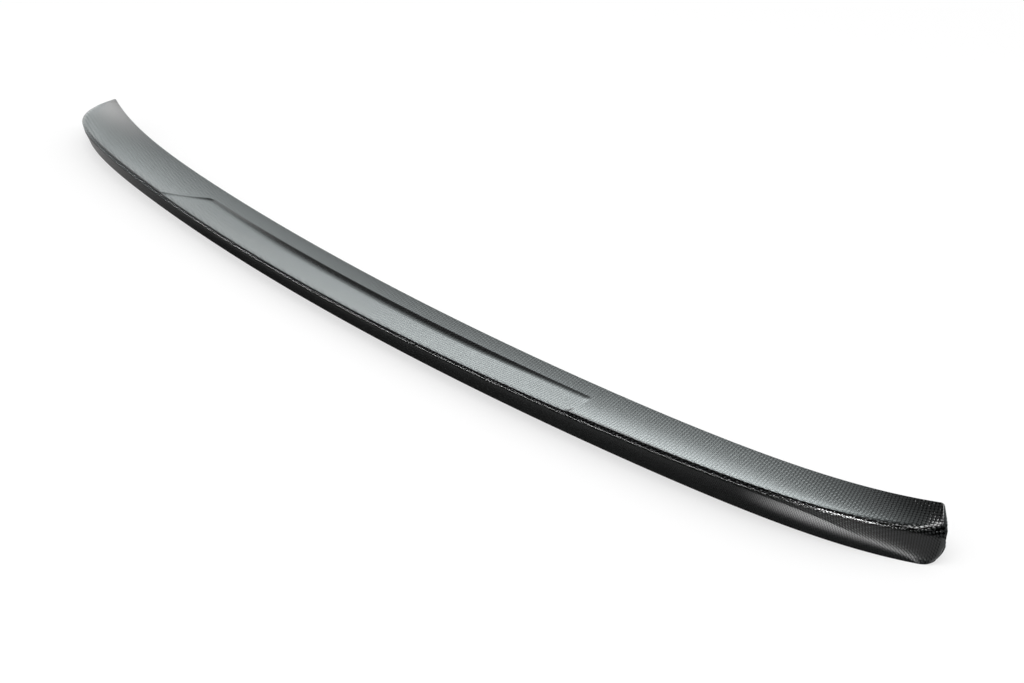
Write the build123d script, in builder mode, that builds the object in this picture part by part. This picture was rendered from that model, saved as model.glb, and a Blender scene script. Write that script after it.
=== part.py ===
"""Lip spoiler for the rear lid of a car: one thin laminate shell, open underneath and at both ends.

Frame, in mm: X across the car, Y forward, Z up, with the origin at the middle of the length and of the
depth, on the plane that the rear foot stands on. Every line of the shell is a formula of X, so a section
can be drawn at any station across the car.
"""
import os
from math import radians, sin, tan
from build123d import *

os.makedirs("parts", exist_ok=True)

half_length = 639.0      # from the middle of the car to the widest point of the shell

# The laminate
wall = 2.2               # thickness of the top skin, measured up and down
rear_wall = 2.6          # thickness of the rear wall, measured along Y at the middle

# Crest, the trailing edge seen from above: a shallow bow that curls forward at both ends
crest_bow_radius = 3500.0
crest_inset = 3.0        # the crest ends this far inside the widest point
crest_curl = 49.0        # how far the curl brings the crest forward at its end
crest_curl_power = 13.0  # the higher, the later the curl starts
crest_height = 25.9      # above the foot, at the middle
crest_rise = 9.8         # gained toward the ends
crest_dip = 11.0         # lost again in the curl

# Front edge, which lies on the lid
front_inset = 20.0       # the front edge ends this far inside the widest point
front_reach = 81.5       # ahead of the crest, at the middle
front_bow = 29.0         # sweep forward of the front edge at its ends
front_curl = 14.5        # extra sweep of the last stretch
front_height = 8.5       # above the foot, at the middle
front_rise = 16.5        # the lid is crowned, so the front edge rises toward the ends
front_lift = 9.5         # extra rise of the last stretch
top_hollow = 0.55        # 0 leaves the top straight in section, 1 makes it a full sweep
end_dish = 5.0           # extra hollow of the top toward the ends
end_dish_inset = 59.0    # here, inside the widest point, half of it has come in
end_dish_power = 14.0

# Nose, the crease under it and the foot of the rear wall
nose_back = 3.4
nose_drop = 2.4
crease_back = 4.0        # behind the crest
crease_drop = 3.5        # below the crest
crease_dive_inset = 42.0 # here, inside the widest point, the crease has fallen half way to the foot
crease_dive_power = 24.0
foot_ahead = 11.0        # the foot is tucked in under the crest by this much
foot_curl = 25.0         # how far the foot sweeps forward at the ends

# Ends, cut straight across with a rounded rear corner
end_tuck = 2.5           # the end cut meets the widest point this far behind the end of the crest
end_corner_radius = 14.0
front_corner_radius = 4.0
foot_corner_radius = 10.0  # where the foot meets the end

# Shallow panel pressed into the top along the middle of the trailing edge
panel_front_half = 302.0
panel_rear_half = 324.0
panel_from_front = 25.5  # from the front edge to the step
panel_step = 3.0         # depth at the step
panel_crest_step = 0.7   # depth left at the crest
panel_corner_radius = 6.0
panel_draft = 1.2        # lean of the step over its depth

crest_end = half_length - crest_inset
front_end = half_length - front_inset
crease_dive_at = half_length - crease_dive_inset

# The middle of the depth, from the crease at the back to the front corners, measured from the crest
middle_y = (front_reach + front_bow + front_curl - crease_back) / 2


def crest_y(x):
    curl = crest_curl * (abs(x) / crest_end) ** crest_curl_power
    return x * x / (2 * crest_bow_radius) + curl - middle_y


def crest_z(x):
    u = abs(x) / crest_end
    return crest_height + crest_rise * u**2 - crest_dip * u**crest_curl_power


def front_y(x):
    u = abs(x) / front_end
    return front_reach + front_bow * u**2 + front_curl * u**8 - middle_y


def front_z(x):
    u = abs(x) / front_end
    return front_height + front_rise * u**2 + front_lift * u**8


def foot_y(x):
    curl = foot_curl * (abs(x) / crest_end) ** 11
    return foot_ahead + x * x / (2 * crest_bow_radius) + curl - middle_y


def dive(x):
    """Share of its height that the crease has lost at x: 0 along the middle, near 1 at the ends."""
    p = (abs(x) / crease_dive_at) ** crease_dive_power
    return p / (1 + p)


def crease_y(x):
    straight = crest_y(x) - crease_back
    return straight + 0.9 * dive(x) * (foot_y(x) - straight)


def crease_z(x):
    return (crest_z(x) - crease_drop) * (1 - dive(x))


def rear_wall_y(x):
    """Rear wall thickness along Y: more where the wall runs askew to Y."""
    step = 1.0
    slope = (foot_y(abs(x)) - foot_y(abs(x) - step)) / step
    return rear_wall * (1 + slope * slope) ** 0.5


def dish(x):
    """How far the middle of the top line is hollowed out more than the sweep, at x."""
    p = (abs(x) / (half_length - end_dish_inset)) ** end_dish_power
    return end_dish * p / (1 + p)


def top_points(x, drop):
    """Control points of the top line in section, from the front edge to the crest."""
    fy, fz, cy, cz = front_y(x), front_z(x) - drop, crest_y(x), crest_z(x) - drop
    return [(fy, fz), ((fy + cy) / 2, fz + (1 - top_hollow) * (cz - fz) / 2 - 2 * dish(x)), (cy, cz)]


def top_z(x, y):
    w = (front_y(x) - y) / (front_y(x) - crest_y(x))
    sweep = (crest_z(x) - front_z(x)) * ((1 - top_hollow) * w + top_hollow * w * w)
    return front_z(x) + sweep - 4 * dish(x) * w * (1 - w)


# Stations across the car, closer together where the ends curl
spread = (0.16, 0.31, 0.47, 0.60, 0.70, 0.78, 0.845, 0.89, 0.93, 0.968, 1.003)
right_half = [share * half_length for share in spread]
stations = [-x for x in reversed(right_half)] + [0.0] + right_half

# The outside, filled to well below the foot; the end cuts also level the foot
deep = -40.0
with BuildPart() as outside:
    for x in stations:
        cy, cz = crest_y(x), crest_z(x)
        nose = (cy - nose_back, cz - nose_drop)
        crease = (crease_y(x), crease_z(x))
        below = (foot_y(x) + (foot_y(x) - crease[0]) * 3 / crease[1], -3)
        with BuildSketch(Plane.YZ.offset(x)):
            with BuildLine():
                Line((front_y(x), front_z(x) - wall - 1), (front_y(x), front_z(x)))
                Bezier(*top_points(x, 0))
                ThreePointArc((cy, cz), (cy - nose_back * 0.55, cz - nose_drop * 0.4), nose)
                Line(nose, crease)
                Line(crease, below)
                Polyline(below, (below[0], deep), (front_y(x), deep), (front_y(x), front_z(x) - wall - 1))
            make_face()
    loft()


def panel_block(grow):
    """Space above the panel floor; grow moves every face of it outward into the laminate."""
    reach = max(panel_front_half, panel_rear_half) + grow + 20
    with BuildPart() as block:
        for x in (-reach, -reach / 2, 0.0, reach / 2, reach):
            sy = front_y(x) - panel_from_front
            sz = top_z(x, sy) - panel_step - grow
            cy, cz = crest_y(x), crest_z(x) - panel_crest_step - grow
            slope = (cz - sz) / (sy - cy)
            with BuildSketch(Plane.YZ.offset(x)):
                with BuildLine():
                    Polyline(
                        (sy + grow, sz - slope * grow),
                        (sy + grow + panel_draft * 3, sz + panel_step * 3),
                        (cy - 12, cz + 25),
                        (cy - 12, cz + slope * 12),
                        close=True,
                    )
                make_face()
        loft()
        rear, front = crest_y(panel_rear_half), front_y(panel_front_half) - panel_from_front
        lean = (panel_rear_half - panel_front_half) / (front - rear)
        far, near = rear - 60, front + 30
        with BuildSketch():
            with BuildLine():
                Polyline(
                    (-panel_rear_half - lean * (rear - far) - grow, far),
                    (panel_rear_half + lean * (rear - far) + grow, far),
                    (panel_front_half - lean * (near - front) + grow, near),
                    (-panel_front_half + lean * (near - front) - grow, near),
                    close=True,
                )
            make_face()
        extrude(amount=crest_height + 40, mode=Mode.INTERSECT)
        upright = block.edges().filter_by(lambda e: abs((e @ 0).Z - (e @ 1).Z) > panel_step * 2)
        corners = upright.filter_by(lambda e: e.center().Y > front - 15)
        fillet(corners, panel_corner_radius + grow)
    return block.part


# The hollow, which opens downward, forward and past both ends
with BuildPart() as hollow:
    for x in [station * 1.002 for station in stations]:
        fy, cy, ty = front_y(x), crest_y(x), rear_wall_y(x)
        inner = top_points(x, wall)
        front_slope = (inner[1][1] - inner[0][1]) / (inner[0][0] - inner[1][0])
        rear_slope = (inner[2][1] - inner[1][1]) / (inner[1][0] - inner[2][0])
        ahead, lip = (fy + 6, inner[0][1] - 6 * front_slope), (fy + 3, inner[0][1] - 3 * front_slope)
        tuck = ty + 0.5
        corner = (cy + tuck, inner[2][1] - rear_slope * tuck)
        crease = (crease_y(x) + ty, min(crease_z(x), corner[1] - 1.5))
        foot = (foot_y(x) + ty, 0)
        with BuildSketch(Plane.YZ.offset(x)):
            with BuildLine():
                Polyline((fy + 6, deep * 1.1), ahead, lip)
                Bezier(lip, inner[1], corner)
                Line(corner, crease)
                Polyline(crease, foot, (foot[0], deep * 1.1), (fy + 6, deep * 1.1))
            make_face()
    loft()
    add(panel_block(wall), mode=Mode.SUBTRACT)

# What the rounded corners take away: at the front, tangent to the front edge and to the end cut
end_run = Vector(half_length, crest_y(crest_end) - end_tuck) - Vector(front_end, front_y(front_end))
with BuildPart() as corner_cut:
    tip = Vector(front_end, front_y(front_end))
    along_front = (Vector(front_end - 1, front_y(front_end - 1)) - tip).normalized()
    along_end = end_run.normalized()
    half_angle = radians(along_front.get_angle(along_end) / 2)
    run = front_corner_radius / tan(half_angle)
    inward = (along_front + along_end).normalized()
    outward = inward * -front_corner_radius * 3
    with BuildSketch():
        with BuildLine():
            clear = inward * -0.05
            first, last = tip + along_front * run + clear, tip + along_end * run + clear
            middle = tip + inward * front_corner_radius * (1 / sin(half_angle) - 1)
            ThreePointArc(first, middle, last)
            Polyline(last, last + outward, first + outward, first)
        make_face()
    extrude(amount=crest_height + 40)
    # The lower rear corner is rounded as seen from behind
    with BuildSketch(Plane.XZ):
        with BuildLine():
            r = foot_corner_radius
            first, last = (half_length - r, -0.05), (half_length + 0.05, r)
            ThreePointArc(first, (half_length - r + r * sin(radians(45)), r - r * sin(radians(45))), last)
            Polyline(last, (half_length + r, r), (half_length + r, -r), (half_length - r, -r), first)
        make_face()
    extrude(amount=middle_y * 2, both=True)
    mirror(about=Plane.YZ)

with BuildPart() as spoiler_shell:
    add(outside.part)
    add(panel_block(0), mode=Mode.SUBTRACT)
    add(hollow.part, mode=Mode.SUBTRACT)
    # Both ends are cut from the front corner to the end of the crest, with the rear corner rounded
    rear_y, far = crest_y(crest_end) - end_tuck, Vector(front_end, front_y(front_end)) - end_run * 1.5
    with BuildSketch():
        with BuildLine():
            Polyline(
                (-half_length, -middle_y - 60),
                (half_length, -middle_y - 60),
                (half_length, rear_y),
                (far.X, far.Y),
                (-far.X, far.Y),
                (-half_length, rear_y),
                close=True,
            )
        make_face()
        corners = vertices().filter_by(lambda v: abs(v.Y - rear_y) < 0.01)
        fillet(corners, end_corner_radius)
    extrude(amount=crest_height + 40, mode=Mode.INTERSECT)
    add(corner_cut.part, mode=Mode.SUBTRACT)

spoiler_shell.part.label = "spoiler_shell"
export_step(spoiler_shell.part, "parts/spoiler_shell.step")
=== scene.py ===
import math

import bpy
import numpy as np
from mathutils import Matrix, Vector


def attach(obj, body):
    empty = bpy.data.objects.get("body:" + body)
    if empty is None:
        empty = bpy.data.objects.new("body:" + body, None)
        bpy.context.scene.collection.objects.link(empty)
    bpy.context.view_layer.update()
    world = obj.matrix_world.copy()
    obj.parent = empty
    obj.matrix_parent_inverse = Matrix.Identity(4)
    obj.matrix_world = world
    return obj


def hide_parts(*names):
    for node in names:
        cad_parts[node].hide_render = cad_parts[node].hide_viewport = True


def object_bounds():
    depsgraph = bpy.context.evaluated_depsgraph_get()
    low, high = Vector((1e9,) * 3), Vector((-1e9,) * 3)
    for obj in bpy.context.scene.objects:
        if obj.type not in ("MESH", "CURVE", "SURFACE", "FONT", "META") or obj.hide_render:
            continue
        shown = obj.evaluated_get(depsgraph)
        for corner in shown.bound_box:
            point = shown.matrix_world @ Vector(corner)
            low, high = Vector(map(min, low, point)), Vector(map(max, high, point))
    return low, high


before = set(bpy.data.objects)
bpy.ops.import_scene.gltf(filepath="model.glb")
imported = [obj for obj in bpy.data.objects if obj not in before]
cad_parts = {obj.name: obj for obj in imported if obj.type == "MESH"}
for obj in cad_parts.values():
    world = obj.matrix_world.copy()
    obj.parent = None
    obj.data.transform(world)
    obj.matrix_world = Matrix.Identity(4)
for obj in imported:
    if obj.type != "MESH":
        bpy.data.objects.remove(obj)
cad_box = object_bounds()

# The shell: one moulding of woven carbon cloth in resin, laid up in a mould and clear coated.
# Its front edge and ends are trimmed, and the foot of its rear wall is bonded to the rear edge of the lid.
# Lengths are in mm: X across the car, Y forward from the crest at the middle, Z up from the foot.
MM = 0.001
ORIGIN_AHEAD = 60.5      # from the crest at the middle forward to the origin of the CAD frame
HALF_LENGTH = 639.0
WALL = 2.2               # top skin, measured up and down
REAR_WALL = 2.6          # rear wall, measured along Y at the middle
BOW_RADIUS = 3500.0

CREST_END = 636.0
CREST_CURL = 49.0
CREST_CURL_POWER = 13
CREST_HEIGHT = 25.9
CREST_RISE = 9.8
CREST_DIP = 11.0


def crest_line(x):
    """Crest in plan, a circular bow plus a high power of the share of the length that curls it forward,
    and in height, a parabola of that share less the same power."""
    share = np.abs(x) / CREST_END
    curl = share**CREST_CURL_POWER
    plan = x**2 / (2 * BOW_RADIUS) + CREST_CURL * curl
    return plan, CREST_HEIGHT + CREST_RISE * share**2 - CREST_DIP * curl


FRONT_END = 619.0
FRONT_REACH = 81.5
FRONT_SWEEP = 29.0
FRONT_HOOK = 14.5
FRONT_HEIGHT = 8.5
FRONT_RISE = 16.5
FRONT_LIFT = 9.5


def front_line(x):
    """Front edge in plan and height: the second and eighth powers of the share of the length."""
    share = np.abs(x) / FRONT_END
    plan = FRONT_REACH + FRONT_SWEEP * share**2 + FRONT_HOOK * share**8
    return plan, FRONT_HEIGHT + FRONT_RISE * share**2 + FRONT_LIFT * share**8


FOOT_AHEAD = 11.0
FOOT_CURL = 25.0
FOOT_CURL_POWER = 11


def foot_line(x):
    """Foot of the rear wall in plan, the bow plus a curl of its own, and the wall's thickness along Y,
    which grows with the slope of that line."""
    share = np.abs(x) / CREST_END
    slope = np.abs(x) / BOW_RADIUS + FOOT_CURL * FOOT_CURL_POWER / CREST_END * share ** (FOOT_CURL_POWER - 1)
    plan = FOOT_AHEAD + x**2 / (2 * BOW_RADIUS) + FOOT_CURL * share**FOOT_CURL_POWER
    return plan, REAR_WALL * np.sqrt(1 + slope**2)


CREASE_BEHIND = 4.0
CREASE_BELOW = 3.5
CREASE_DIVE_AT = 591.0
CREASE_DIVE_POWER = 28
CREASE_DIVE_SHARE = 0.9


def crease_line(x):
    """Crease in plan and height: it follows the crest, and dives to the foot by p / (1 + p), where p is a
    high power of the share of the length."""
    p = (np.abs(x) / CREASE_DIVE_AT) ** CREASE_DIVE_POWER
    dive = p / (1 + p)
    plan = crest_line(x)[0] - CREASE_BEHIND
    plan = plan + CREASE_DIVE_SHARE * dive * (foot_line(x)[0] - plan)
    return plan, (crest_line(x)[1] - CREASE_BELOW) * (1 - dive)


TOP_HOLLOW = 0.55
END_DISH = 20.0
END_DISH_AT = 580.0
END_DISH_POWER = 14


def sweep(w):
    """Share of the climb from the front edge, w = 0, to the crest, w = 1: a straight line and a parabola."""
    return (1 - TOP_HOLLOW) * w + TOP_HOLLOW * w**2


def skin_height(x, y):
    """Top without the panel: the sweep from front edge to crest, less a parabola that dishes the ends."""
    front_y, front_z = front_line(x)
    crest_y, crest_z = crest_line(x)
    w = np.minimum((front_y - y) / (front_y - crest_y), 1.0)
    p = (np.abs(x) / END_DISH_AT) ** END_DISH_POWER
    return front_z + (crest_z - front_z) * sweep(w) - END_DISH * p / (1 + p) * w * (1 - w)


PANEL_FROM_FRONT = 25.5
PANEL_STEP = 3.7
PANEL_STEP_LOSS = 2.4    # the step is this much shallower at the panel's corners
PANEL_LOSS_FROM = 110.0
PANEL_LOSS_OVER = 200.0
PANEL_SAG = 1.2
PANEL_AT_CREST = 0.7     # depth left where the panel runs out over the crest
PANEL_HALF = 302.0
PANEL_HALF_AT = 62.95    # Y where the half width is measured
PANEL_FLARE = 0.4588     # half width gained per mm toward the crest
PANEL_CORNER = 6.0
PANEL_SOFTNESS = 3.5
PANEL_SOFT_POWER = 1.6
PANEL_OUTSET = 0.6


def panel_floor(x, y):
    """Floor of the panel: a straight line from the foot of its step to just under the crest, less a slight
    parabola. The step's depth fades toward the corners by a smooth step."""
    front_y, front_z = front_line(x)
    crest_y, crest_z = crest_line(x)
    fade = np.clip((np.abs(x) - PANEL_LOSS_FROM) / PANEL_LOSS_OVER, 0, 1)
    depth = PANEL_STEP - PANEL_STEP_LOSS * fade**2 * (3 - 2 * fade)
    step_z = front_z + (crest_z - front_z) * sweep(PANEL_FROM_FRONT / (front_y - crest_y)) - depth
    step_y = front_y - PANEL_FROM_FRONT
    share = (step_y - y) / (step_y - crest_y)
    return step_z + (crest_z - PANEL_AT_CREST - step_z) * share - PANEL_SAG * share * (1 - share)


def panel_side(x, y):
    """Distance inside the panel's slanted ends, square to them."""
    return (PANEL_HALF + PANEL_FLARE * (PANEL_HALF_AT - y) - np.abs(x)) / math.hypot(1, PANEL_FLARE)


def panel_share(inside):
    """Share of the panel's depth at a distance inside its outline: one less the exponential of minus a power
    of that distance."""
    return 1 - np.exp(-(np.maximum(inside + PANEL_OUTSET, 0) / PANEL_SOFTNESS) ** PANEL_SOFT_POWER)


def top_height(x, y):
    """Top with the panel let into it: inside the outline, whose front corners are round, the skin goes down
    to the panel's floor by the share for that distance."""
    side = panel_side(x, y)
    back = front_line(x)[0] - PANEL_FROM_FRONT - y
    in_corner = (side < PANEL_CORNER) & (back < PANEL_CORNER)
    round_corner = PANEL_CORNER - np.hypot(PANEL_CORNER - side, PANEL_CORNER - back)
    inside = np.where(in_corner, round_corner, np.minimum(side, back))
    skin = skin_height(x, y)
    return skin - np.maximum(skin - panel_floor(x, y), 0) * panel_share(inside)


def edge_round(distance, radius):
    """Depth of a quarter round at a distance from the edge."""
    return radius - np.sqrt(np.maximum(radius**2 - np.clip(radius - distance, 0, radius) ** 2, 0))


# Rows of the grid, from the front edge over the crest to the foot, closer together at the edges and the step
front_rows = np.array([0, 0.02, 0.08, 0.2, 0.4, 0.65, 0.9, 1.4, 2, 3, 4.5, 6.5, 9, 12, 15, 18, 20.5, 22, 23,
                       23.7, 24.0, 24.25, 24.5, 24.75, 25.0, 25.25, PANEL_FROM_FRONT])[:, None]
top_rows = np.concatenate([[0.006, 0.012, 0.02, 0.03, 0.042, 0.056, 0.075], np.linspace(0.1, 0.9, 21),
                           [0.93, 0.955, 0.975, 0.99, 1.0]])[:, None]
nose_rows = np.linspace(0.1, 1, 10)[:, None]
face_rows = np.linspace(0, 1, 12)[1:-1, None]
crease_rows = np.linspace(0, 1, 6)[:, None]
wall_rows = np.linspace(0.1, 1, 10)[:, None]
row_blocks = (front_rows, top_rows, nose_rows, face_rows, crease_rows, wall_rows)
row_starts = np.cumsum([0] + [len(block) for block in row_blocks])
front, top, nose, face, crease, wall = [slice(a, b) for a, b in zip(row_starts[:-1], row_starts[1:])]
over = slice(front.start, top.stop)
rear = slice(face.start, wall.stop)
row_count = row_starts[-1]

FRONT_EDGE_ROUND = 0.9
STRIP_SHARE = 0.7        # the strip ahead of the panel never takes more of the depth than this
NOSE_BACK = 3.4
NOSE_DROP = 2.4
NOSE_PULL_BACK = 2.02
NOSE_PULL_DROP = 0.75
CREASE_ROUND = 0.5


def outer_section(x):
    """Outside of the shell in section. The top follows its height, the nose is a quadratic Bezier curve from
    the crest, and a straight face and a straight wall meet at the crease in a short quadratic round."""
    y = np.empty(x.shape)
    z = np.empty(x.shape)
    front_y = front_line(x)[0]
    crest_y, crest_z = crest_line(x)
    strip = np.minimum(PANEL_FROM_FRONT, STRIP_SHARE * (front_y - crest_y))
    y[front] = front_y[front] - front_rows * strip[front] / PANEL_FROM_FRONT
    panel_y = front_y[top] - strip[top]
    y[top] = panel_y + (crest_y[top] - panel_y) * top_rows
    z[over] = top_height(x[over], y[over])
    z[front] -= edge_round(front_rows, FRONT_EDGE_ROUND)

    bulge = 2 * nose_rows * (1 - nose_rows)
    y[nose] = crest_y[nose] - NOSE_PULL_BACK * bulge - NOSE_BACK * nose_rows**2
    arc = crest_z[nose] - NOSE_PULL_DROP * bulge - NOSE_DROP * nose_rows**2
    cut = np.maximum(arc - panel_floor(x[nose], y[nose]), 0)
    z[nose] = arc - cut * panel_share(panel_side(x[nose], y[nose]))

    nose_y = crest_y - NOSE_BACK
    nose_z = crest_z - NOSE_DROP
    crease_y, crease_z = crease_line(x)
    foot_y = foot_line(x)[0]
    before = np.minimum(CREASE_ROUND / np.hypot(nose_y - crease_y, nose_z - crease_z), 0.5)
    after = np.minimum(CREASE_ROUND / np.hypot(foot_y - crease_y, crease_z), 0.5)
    up = np.zeros(x.shape)
    up[face] = 1 - (1 - before[face]) * face_rows
    up[crease] = before[crease] * (1 - crease_rows) ** 2
    fall = np.zeros(x.shape)
    fall[crease] = after[crease] * crease_rows**2
    fall[wall] = after[wall] * (1 - wall_rows) + wall_rows
    y[rear] = (crease_y + up * (nose_y - crease_y) + fall * (foot_y - crease_y))[rear]
    z[rear] = (crease_z + up * (nose_z - crease_z) - fall * crease_z)[rear]
    return y, z


TUCK = 0.5               # clearance of the inside corner from the rear wall
CORNER_DROP = 1.5
NOSE_SHARE = 0.3         # shares of the line from the corner to the crease that the rows take
FACE_SHARE = 0.5
CREASE_SHARE = 0.2


def inner_section(x):
    """Inside of the shell in the same rows: the top one wall lower and drawn in by the rear wall, a straight
    line from its corner to the crease, and a straight wall down to the foot."""
    y = np.empty(x.shape)
    z = np.empty(x.shape)
    front_y = front_line(x)[0]
    depth = front_y - crest_line(x)[0]
    foot_y, wall_y = foot_line(x)
    drawn = front_y - (front_y - outer_section(x)[0]) * (depth - wall_y - TUCK) / depth
    y[over] = drawn[over]
    z[over] = top_height(x[over], y[over]) - WALL
    corner_y = y[top.stop - 1]
    corner_z = z[top.stop - 1]
    crease_y, crease_z = crease_line(x)
    crease_z = np.minimum(crease_z, corner_z - CORNER_DROP)
    down = slice(nose.start, crease.stop)
    share = np.concatenate([NOSE_SHARE * nose_rows, NOSE_SHARE + FACE_SHARE * face_rows,
                            NOSE_SHARE + FACE_SHARE + CREASE_SHARE * crease_rows])
    y[down] = corner_y + (crease_y[down] + wall_y[down] - corner_y) * share
    z[down] = corner_z + (crease_z[down] - corner_z) * share
    y[wall] = crease_y[wall] + wall_y[wall] + (foot_y[wall] - crease_y[wall]) * wall_rows
    z[wall] = crease_z[wall] * (1 - wall_rows)
    return y, z


def from_crest(y, z):
    """Distance from the crest along each section, the lengths between rows added up."""
    steps = np.hypot(np.diff(y, axis=0, prepend=y[:1]), np.diff(z, axis=0, prepend=z[:1]))
    along = np.cumsum(steps, axis=0)
    return np.abs(along - along[top.stop - 1])


END_BEHIND_CREST = 2.5   # the slanted cut reaches the widest plane this far behind the end of the crest
END_ROUND = 14.0
FRONT_CORNER = 4.0
FOOT_CORNER = 7.0
END_LEAN = 0.09
END_LEAN_BELOW = 22.0
TIP_BACK = 1.5
TIP_SPREAD = 9.0


def end_room(x):
    """How far inside the end each row is: the lesser of the distances to the slanted cut and to the leaning
    end plane, with rounds where they meet, at the front edge and at the foot, less a bell curve about the
    crest."""
    y, z = outer_section(x)
    tip = np.array([FRONT_END, front_line(FRONT_END)[0]])
    widest = np.array([HALF_LENGTH, crest_line(CREST_END)[0] - END_BEHIND_CREST])
    cut_way = (widest - tip) / np.linalg.norm(widest - tip)
    front_way = tip - [FRONT_END - 1, front_line(FRONT_END - 1)[0]]
    front_way = front_way / np.linalg.norm(front_way)
    to_cut = (x - tip[0]) * cut_way[1] - (y - tip[1]) * cut_way[0]
    to_end = HALF_LENGTH - END_LEAN * np.clip(END_LEAN_BELOW - z, 0, END_LEAN_BELOW) - x
    room = np.minimum(to_cut, to_end)

    centre_x = HALF_LENGTH - END_ROUND
    centre_y = tip[1] - (END_ROUND - (centre_x - tip[0]) * cut_way[1]) / cut_way[0]
    past_cut = (x - centre_x) * cut_way[0] + (y - centre_y) * cut_way[1] > 0
    end_round = END_ROUND - np.hypot(x - centre_x, y - centre_y)
    room = np.where((y > centre_y) & past_cut, end_round, room)

    inward = (cut_way - front_way) / np.linalg.norm(cut_way - front_way)
    sine = abs(inward[0] * cut_way[1] - inward[1] * cut_way[0])
    centre_x, centre_y = tip + inward * FRONT_CORNER / sine
    past_front = (x - centre_x) * front_way[0] + (y - centre_y) * front_way[1] > 0
    before_cut = (x - centre_x) * cut_way[0] + (y - centre_y) * cut_way[1] < 0
    front_corner = FRONT_CORNER - np.hypot(x - centre_x, y - centre_y)
    room = np.where(past_front & before_cut, front_corner, room)

    room = np.minimum(room, to_end - edge_round(z, FOOT_CORNER))
    return room - TIP_BACK * np.exp(-(from_crest(y, z) / TIP_SPREAD) ** 2)


# Where each row ends, found by halving an interval
SEARCH_FROM = 540.0
SEARCH_TO = 642.0
HALVINGS = 40
inside_end = np.full((row_count, 1), SEARCH_FROM)
outside_end = np.full((row_count, 1), SEARCH_TO)
for _ in range(HALVINGS):
    middle = (inside_end + outside_end) / 2
    within = end_room(middle) > 0
    inside_end = np.where(within, middle, inside_end)
    outside_end = np.where(within, outside_end, middle)
row_end = inside_end

# Columns of the grid: closer at the panel's ends, where they follow its slant, and stretched to the row's end
PANEL_COLUMN = 312.0
SLANT_MOST = 24.0        # the columns follow the slant out to this much more than the panel's half width
SLANT_WITHIN = 16.0
SLANT_OVER = 100.0
STRETCH_FROM = 450.0
LAST_COLUMN = 638.0
near_panel = np.array([0, 0.3, 0.6, 0.9, 1.2, 1.6, 2.2, 3.2, 5, 8, 13])
near_end = np.array([5, 3.5, 2.4, 1.7, 1.2, 0.8, 0.5, 0.25, 0.08, 0])
half_columns = np.concatenate([np.arange(0, 296, 6.0), PANEL_COLUMN - near_panel[::-1],
                               PANEL_COLUMN + near_panel[1:], np.arange(330, 561, 6.0),
                               np.arange(563, 632, 2.5), LAST_COLUMN - near_end])
columns = np.concatenate([-half_columns[:0:-1], half_columns])[None, :]
plain = np.abs(columns)
slant_y = outer_section(np.full((row_count, 1), PANEL_COLUMN))[0]
slant = PANEL_HALF + np.clip(PANEL_FLARE * (PANEL_HALF_AT - slant_y), 0, SLANT_MOST)
follow = np.clip(1 - (np.abs(plain - PANEL_COLUMN) - SLANT_WITHIN) / SLANT_OVER, 0, 1)
stretched = STRETCH_FROM + (plain - STRETCH_FROM) * (row_end - STRETCH_FROM) / (LAST_COLUMN - STRETCH_FROM)
reach = np.where(plain > STRETCH_FROM, stretched, plain) + follow * (slant - PANEL_COLUMN)
x = np.sign(columns) * reach
to_row_end = np.abs(row_end - np.abs(x))

# The crest is eased a little toward the ends, and the end edges are rounded over
EASE = 1.2
EASE_FORWARD = 0.6
EASE_DOWN = 0.8
EASE_FROM = 520.0
EASE_OVER = 100.0
EASE_REACH = 6.0
END_EDGE_ROUND = 2.0
outer_y, outer_z = outer_section(x)
inner = np.stack([x, *inner_section(x)], -1)
toward_end = np.clip((np.abs(x) - EASE_FROM) / EASE_OVER, 0, 1) ** 2
ease = EASE * toward_end * np.clip(1 - from_crest(outer_y, outer_z) / EASE_REACH, 0, 1) ** 2
outer_y += EASE_FORWARD * ease
outer_z -= EASE_DOWN * ease
outer = np.stack([x, outer_y, outer_z], -1)
through = inner - outer
through /= np.linalg.norm(through, axis=-1, keepdims=True)
outer += through * edge_round(to_row_end, END_EDGE_ROUND)[..., None]

# The cloth's own coordinates: turned on the top, and along the crest and down the section on the rear
CLOTH_TURN = math.radians(27)
REAR_FINER = 1.3
cos_turn = math.cos(CLOTH_TURN)
sin_turn = math.sin(CLOTH_TURN)
top_cloth = np.stack([x * cos_turn + outer_y * sin_turn, outer_y * cos_turn - x * sin_turn], -1)
station = np.linspace(-700, 700, 5601)
crest_slope = np.gradient(crest_line(station)[0], station)
crest_length = np.cumsum(np.hypot(1, crest_slope)) * (station[1] - station[0])
step_y = np.diff(outer_y, axis=0, prepend=outer_y[:1])
step_z = np.diff(outer_z, axis=0, prepend=outer_z[:1])
unrolled = outer_y[:1] - np.cumsum(np.hypot(step_y, step_z), axis=0)
rear_cloth = np.stack([np.interp(x, station, crest_length), unrolled], -1) * REAR_FINER

row_total, column_total = x.shape
index = np.arange(x.size).reshape(row_total, column_total)
under = index + x.size


def quads(a, b, c, d):
    """Four-sided faces from four arrays of corner numbers."""
    return np.stack([a, b, c, d], -1).reshape(-1, 4)


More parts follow.
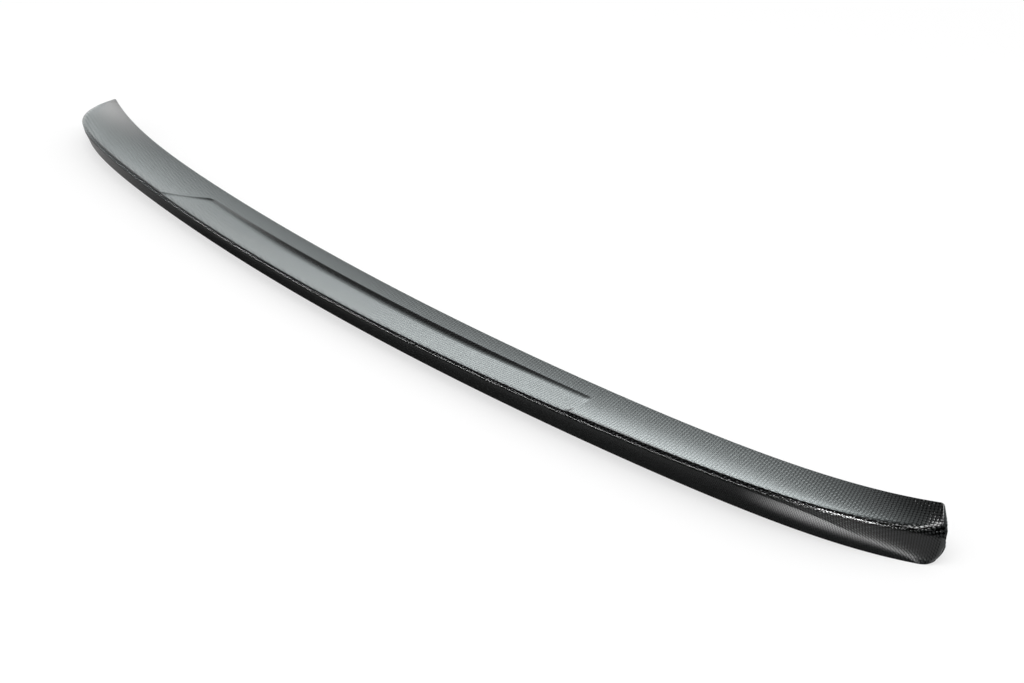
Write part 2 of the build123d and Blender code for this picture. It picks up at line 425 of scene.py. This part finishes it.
faces = np.concatenate([
    quads(index[:-1, :-1], index[1:, :-1], index[1:, 1:], index[:-1, 1:]),
    quads(under[:-1, :-1], under[:-1, 1:], under[1:, 1:], under[1:, :-1]),
    quads(index[0, :-1], index[0, 1:], under[0, 1:], under[0, :-1]),
    quads(index[-1, 1:], index[-1, :-1], under[-1, :-1], under[-1, 1:]),
    quads(index[1:, 0], index[:-1, 0], under[:-1, 0], under[1:, 0]),
    quads(index[:-1, -1], index[1:, -1], under[1:, -1], under[:-1, -1]),
])
SHARP_ANGLE = math.radians(40)
points = np.concatenate([outer.reshape(-1, 3), inner.reshape(-1, 3)]) - [0, ORIGIN_AHEAD, 0]
points[:, 1] = np.minimum(points[:, 1], cad_box[1][1] / MM)
mesh = bpy.data.meshes.new("carbon_shell")
mesh.from_pydata((points * MM).tolist(), [], faces.tolist())
mesh.shade_smooth()
mesh.set_sharp_from_angle(angle=SHARP_ANGLE)

corners = faces % x.size
on_rear = (corners.max(axis=1) // column_total >= nose.start)[:, None, None]
cloth_uv = np.where(on_rear, rear_cloth.reshape(-1, 2)[corners], top_cloth.reshape(-1, 2)[corners]) * MM
cloth = mesh.uv_layers.new(name="cloth")
cloth.data.foreach_set("uv", cloth_uv.astype(np.float32).ravel())

# Where the trimmed end is bare of weave, and how near a point is to the crest, which bounds the painted shade
# along the crest
RIM_BARE = 2.2
CREST_BAND = 4.0
rim_values = np.clip(RIM_BARE - to_row_end, 0, 1).ravel()
edge_values = np.clip(1.5 - from_crest(outer_y, outer_z) / CREST_BAND, 0, 1).ravel()
for name, values in (("rim", rim_values), ("edge", edge_values)):
    attribute = mesh.attributes.new(name, "FLOAT", "POINT")
    attribute.data.foreach_set("value", np.tile(values, 2).astype(np.float32))

shell = bpy.data.objects.new("carbon_shell", mesh)
bpy.context.scene.collection.objects.link(shell)


class Wire:
    """A node's socket to reckon with: an operator adds a Math node, and node() adds any other node."""

    def __init__(self, socket):
        self.socket = socket
        self.tree = socket.id_data

    def node(self, kind, settings, values, out=0):
        made = self.tree.nodes.new(kind)
        for key, value in settings.items():
            setattr(made, key, value)
        for key, value in values.items():
            if isinstance(value, Wire):
                self.tree.links.new(value.socket, made.inputs[key])
            else:
                made.inputs[key].default_value = value
        return Wire(made.outputs[out])

    def math(self, operation, a, b=0.0):
        return self.node("ShaderNodeMath", {"operation": operation}, {0: a, 1: b})

    def __add__(self, other):
        return self.math("ADD", self, other)

    def __radd__(self, other):
        return self.math("ADD", other, self)

    def __sub__(self, other):
        return self.math("SUBTRACT", self, other)

    def __rsub__(self, other):
        return self.math("SUBTRACT", other, self)

    def __mul__(self, other):
        return self.math("MULTIPLY", self, other)

    def __rmul__(self, other):
        return self.math("MULTIPLY", other, self)

    def __truediv__(self, other):
        return self.math("DIVIDE", self, other)

    def __rtruediv__(self, other):
        return self.math("DIVIDE", other, self)

    def __pow__(self, other):
        return self.math("POWER", self, other)

    def __rpow__(self, other):
        return self.math("POWER", other, self)

    def __mod__(self, other):
        return self.math("FLOORED_MODULO", self, other)

    def __rmod__(self, other):
        return self.math("FLOORED_MODULO", other, self)


def ramp(value, low, high, start, end, shape="SMOOTHSTEP"):
    """A Map Range node: as the value goes from low to high, the result goes from start to end."""
    limits = {"Value": value, "From Min": low, "From Max": high, "To Min": start, "To Max": end}
    return value.node("ShaderNodeMapRange", {"interpolation_type": shape}, limits)


def part_of(vector, axis):
    """One component of a vector: 0 for X, 1 for Y, 2 for Z."""
    return vector.node("ShaderNodeSeparateXYZ", {}, {0: vector}, axis)


def tint(share, first, last):
    """A colour between two, by a share."""
    return share.node("ShaderNodeMix", {"data_type": "RGBA"}, {"Factor": share, 6: first, 7: last}, 2)


# Clear-coated carbon: two sets of flat tows, over and under each other in dark resin, with low crowns
TOW = 0.0028
CROWN_FLAT = 0.35        # share of a tow's height that stays at the ends of a crossing
CROWN_HEIGHT = 0.00012
RIM_LEVEL = 0.6
CREST_PAINTED_SHADE = 0.9          # painted shade: how far every other crossing goes dark along the crest, so the crest highlight shows as dots
GAP_COLOUR = (0.001, 0.001, 0.001, 1)
TOW_COLOUR = (0.018, 0.019, 0.019, 1)
carbon = bpy.data.materials.new("clear_coated_carbon")
carbon.use_nodes = True
carbon_tree = carbon.node_tree
principled = carbon_tree.nodes["Principled BSDF"]
uv_map = carbon_tree.nodes.new("ShaderNodeUVMap")
uv_map.uv_map = "cloth"
uv = Wire(uv_map.outputs["UV"])
warp = part_of(uv, 0) / TOW
weft = part_of(uv, 1) / TOW
parity = (uv.math("FLOOR", warp) + uv.math("FLOOR", weft)) % 2.0
warp_crown = 1.0 - (2.0 * uv.math("FRACT", warp) - 1.0) ** 2.0
weft_crown = 1.0 - (2.0 * uv.math("FRACT", weft) - 1.0) ** 2.0
warp_over = weft_crown * (CROWN_FLAT + (1 - CROWN_FLAT) * warp_crown)
weft_over = warp_crown * (CROWN_FLAT + (1 - CROWN_FLAT) * weft_crown)
woven = warp_over + (weft_over - warp_over) * parity
rim = uv.node("ShaderNodeAttribute", {"attribute_name": "rim"}, {}, 2)
crest_edge = uv.node("ShaderNodeAttribute", {"attribute_name": "edge"}, {}, 2)
height = woven + (RIM_LEVEL - woven) * rim
bump = uv.node("ShaderNodeBump", {}, {"Strength": 1.0, "Distance": CROWN_HEIGHT, "Height": height})
# Painted shade: near the crest every other crossing is darkened in colour, metal and coat, so the crest
# highlight breaks into dots
tow_and_crest_shade = ramp(height, 0.08, 0.6, 0.0, 1.0) * (1.0 - CREST_PAINTED_SHADE * parity * crest_edge)
carbon_tree.links.new(tint(tow_and_crest_shade, GAP_COLOUR, TOW_COLOUR).socket, principled.inputs["Base Color"])
carbon_tree.links.new(bump.socket, principled.inputs["Normal"])
carbon_tree.links.new((1.0 - tow_and_crest_shade).socket, principled.inputs["Metallic"])
carbon_tree.links.new((0.05 + 0.6 * tow_and_crest_shade).socket, principled.inputs["Coat Weight"])
principled.inputs["Roughness"].default_value = 0.14
principled.inputs["Coat Roughness"].default_value = 0.05
mesh.materials.append(carbon)
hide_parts("spoiler_shell")
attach(shell, "root")

# The floor: a plain pale table top that keeps the part's shadow.
# The clear coat sees a painted reflection on it instead, an emission for glossy rays only: bright beyond the
# part, a painted light strip close behind the right end, and painted shade toward the camera.
FLOOR_HALF = 9.0
FLOOR_COLOUR = (0.85, 0.85, 0.85, 1)
FLOOR_GLOW = 0.6         # share of the floor that is white by itself
BEYOND = (-0.69, 0.72, 0)
WHITE = (1, 1, 1, 1)
MIRROR_TOP = 4.0         # brightest that the painted reflection on the floor can be
floor_corners = [(-FLOOR_HALF, -FLOOR_HALF, 0), (FLOOR_HALF, -FLOOR_HALF, 0),
                 (FLOOR_HALF, FLOOR_HALF, 0), (-FLOOR_HALF, FLOOR_HALF, 0)]
floor_mesh = bpy.data.meshes.new("floor")
floor_mesh.from_pydata(floor_corners, [], [(0, 1, 2, 3)])
floor = bpy.data.objects.new("floor", floor_mesh)
bpy.context.scene.collection.objects.link(floor)
paint = bpy.data.materials.new("floor_white")
paint.use_nodes = True
floor_tree = paint.node_tree
floor_tree.nodes.remove(floor_tree.nodes["Principled BSDF"])
in_coat = Wire(floor_tree.nodes.new("ShaderNodeLightPath").outputs["Is Glossy Ray"])
place = Wire(floor_tree.nodes.new("ShaderNodeTexCoord").outputs["Object"])
past_part = place.node("ShaderNodeVectorMath", {"operation": "DOT_PRODUCT"}, {0: place, 1: BEYOND}, 1)
floor_x = part_of(place, 0)
end_share = place.math("ABSOLUTE", floor_x) / (CREST_END * MM)
foot_bow = floor_x**2.0 / (2 * BOW_RADIUS * MM) + FOOT_CURL * MM * end_share ** float(FOOT_CURL_POWER)
behind_foot = foot_bow + (FOOT_AHEAD - ORIGIN_AHEAD) * MM - part_of(place, 1)
right_end = ramp(floor_x, 0.48, 0.57, 0.0, 1.0)
close_by = ramp(behind_foot, 0.006, 0.014, 0.0, 1.0)
not_past = ramp(behind_foot, 0.015, 0.021, 1.0, 0.0)
# Painted reflection for glossy rays: a light strip close behind the foot at the right end, dark toward the
# camera and bright beyond the part
painted_light_strip = close_by * (0.08 + 0.3 * right_end + 3.6 * not_past * right_end)
painted_floor_reflection = place.math("MAXIMUM", ramp(past_part, 0.1, 1.2, 0.01, 1.3), painted_light_strip)
painted_reflection_colour = tint(painted_floor_reflection / MIRROR_TOP, (0, 0, 0, 1), (MIRROR_TOP, MIRROR_TOP, MIRROR_TOP, 1))
matt = place.node("ShaderNodeBsdfDiffuse", {}, {"Color": FLOOR_COLOUR})
glow = place.node("ShaderNodeEmission", {}, {"Color": WHITE, "Strength": 1.0})
table = place.node("ShaderNodeMixShader", {}, {0: FLOOR_GLOW, 1: matt, 2: glow})
mirror = place.node("ShaderNodeEmission", {}, {"Color": painted_reflection_colour, "Strength": 1.0})
surface = place.node("ShaderNodeMixShader", {}, {0: in_coat, 1: table, 2: mirror})
floor_tree.links.new(surface.socket, floor_tree.nodes["Material Output"].inputs["Surface"])
floor_mesh.materials.append(paint)

# The room: a white studio with a pale backdrop beyond the part.
# The camera sees white, the floor gets an even glow, and the clear coat mirrors a backdrop that fades upward.
EVEN_GLOW = 1.08
ACROSS = (0.6, 0.8, 0)
BACKDROP_TINT = (0.92, 1.0, 1.005, 1)
world = bpy.data.worlds.new("studio")
bpy.context.scene.world = world
world.use_nodes = True
world_tree = world.node_tree
background = world_tree.nodes["Background"]
light_path = world_tree.nodes.new("ShaderNodeLightPath")
seen = Wire(light_path.outputs["Is Camera Ray"])
glossy = Wire(light_path.outputs["Is Glossy Ray"])
way = Wire(world_tree.nodes.new("ShaderNodeTexCoord").outputs["Generated"])
up = part_of(way, 2)
beyond = way.node("ShaderNodeVectorMath", {"operation": "DOT_PRODUCT"}, {0: way, 1: BEYOND}, 1)
across = way.node("ShaderNodeVectorMath", {"operation": "DOT_PRODUCT"}, {0: way, 1: ACROSS}, 1)
rightward = ramp(across, 0.0, 0.22, 0.0, 1.0, "LINEAR")
leftward = ramp(across, 0.04, -0.1, 0.0, 1.0, "LINEAR")
backdrop = ramp(up, 0.15, 0.58, 0.73, 0.02, "LINEAR") * (1.0 - 0.3 * rightward + 0.45 * leftward)
horizon = ramp(up, 0.0, 0.2, 1.0, 0.0) * (0.4 + 2.1 * rightward)
upper_right = ramp(up, 0.12, 0.4, 0.0, 0.3) * rightward
mirrored_room = (backdrop + horizon + upper_right) * ramp(beyond, 0.1, 0.7, 0.02, 1.0)
strength = seen + (1.0 - seen) * (glossy * mirrored_room + (1.0 - glossy) * EVEN_GLOW)
world_tree.links.new(strength.socket, background.inputs["Strength"])
world_tree.links.new(tint(glossy, WHITE, BACKDROP_TINT).socket, background.inputs["Color"])


# The lamps: studio soft boxes on stands, each a flat panel of light. The one overhead lights the floor.
# The others show only in the clear coat: a long strip draws the line on the nose, a small box the one on the
# right of the crest, and two with soft edges lighten the left tip and the end of the crest.
def soft_box(name, width, depth, watts, position):
    """A flat lamp that faces down, at a position in metres."""
    lamp = bpy.data.lights.new(name, "AREA")
    lamp.shape = "RECTANGLE"
    lamp.size = width
    lamp.size_y = depth
    lamp.energy = watts
    stand = bpy.data.objects.new(name, lamp)
    stand.location = position
    bpy.context.scene.collection.objects.link(stand)
    return stand


soft_box("overhead", 2.4, 0.8, 14, (0.4, -0.5, 2.4)).visible_glossy = False
soft_box("strip", 4.6, 0.12, 60, (-1.1, -1.3, 1.2)).visible_diffuse = False
soft_box("right_box", 0.6, 0.16, 20, (0.7, -0.45, 1.2)).visible_diffuse = False

LAMP_MIDDLE = (0.5, 0.5, 0)
SOFT_EDGED = (
    ("left_box", 0.6, 3.2, (-1.09, 0.19, 0.385), (-0.8, 0.22, 0.56)),
    ("crest_box", 0.34, 5.0, (0.46, 0.5, 0.92), (-0.16, 0.45, 0.88)),
)
for name, size, watts, position, away in SOFT_EDGED:
    stand = soft_box(name, size, size, watts, position)
    stand.rotation_euler = Vector(away).to_track_quat("Z", "Y").to_euler()
    stand.visible_diffuse = False
    stand.visible_camera = False
    stand.data.use_nodes = True
    lamp_tree = stand.data.node_tree
    spot = Wire(lamp_tree.nodes.new("ShaderNodeNewGeometry").outputs["Parametric"])
    off_middle = spot.node("ShaderNodeVectorMath", {"operation": "DISTANCE"}, {0: spot, 1: LAMP_MIDDLE}, 1)
    soft = tint(ramp(off_middle, 0.0, 0.5, 1.0, 0.0), (0, 0, 0, 1), WHITE)
    lamp_tree.links.new(soft.socket, lamp_tree.nodes["Emission"].inputs["Color"])

# The camera: behind the right end and above it, at the photograph's angle.
lens = bpy.data.cameras.new("camera")
lens.lens = 65.81
lens.sensor_width = 36.0
lens.sensor_fit = "HORIZONTAL"
camera = bpy.data.objects.new("camera", lens)
camera.location = (1.3314, -0.9426, 0.7326)
camera.rotation_euler = (math.radians(64.55), 0, math.radians(50.235))
bpy.context.scene.collection.objects.link(camera)
bpy.context.scene.camera = camera
bpy.context.scene.view_settings.view_transform = "Standard"
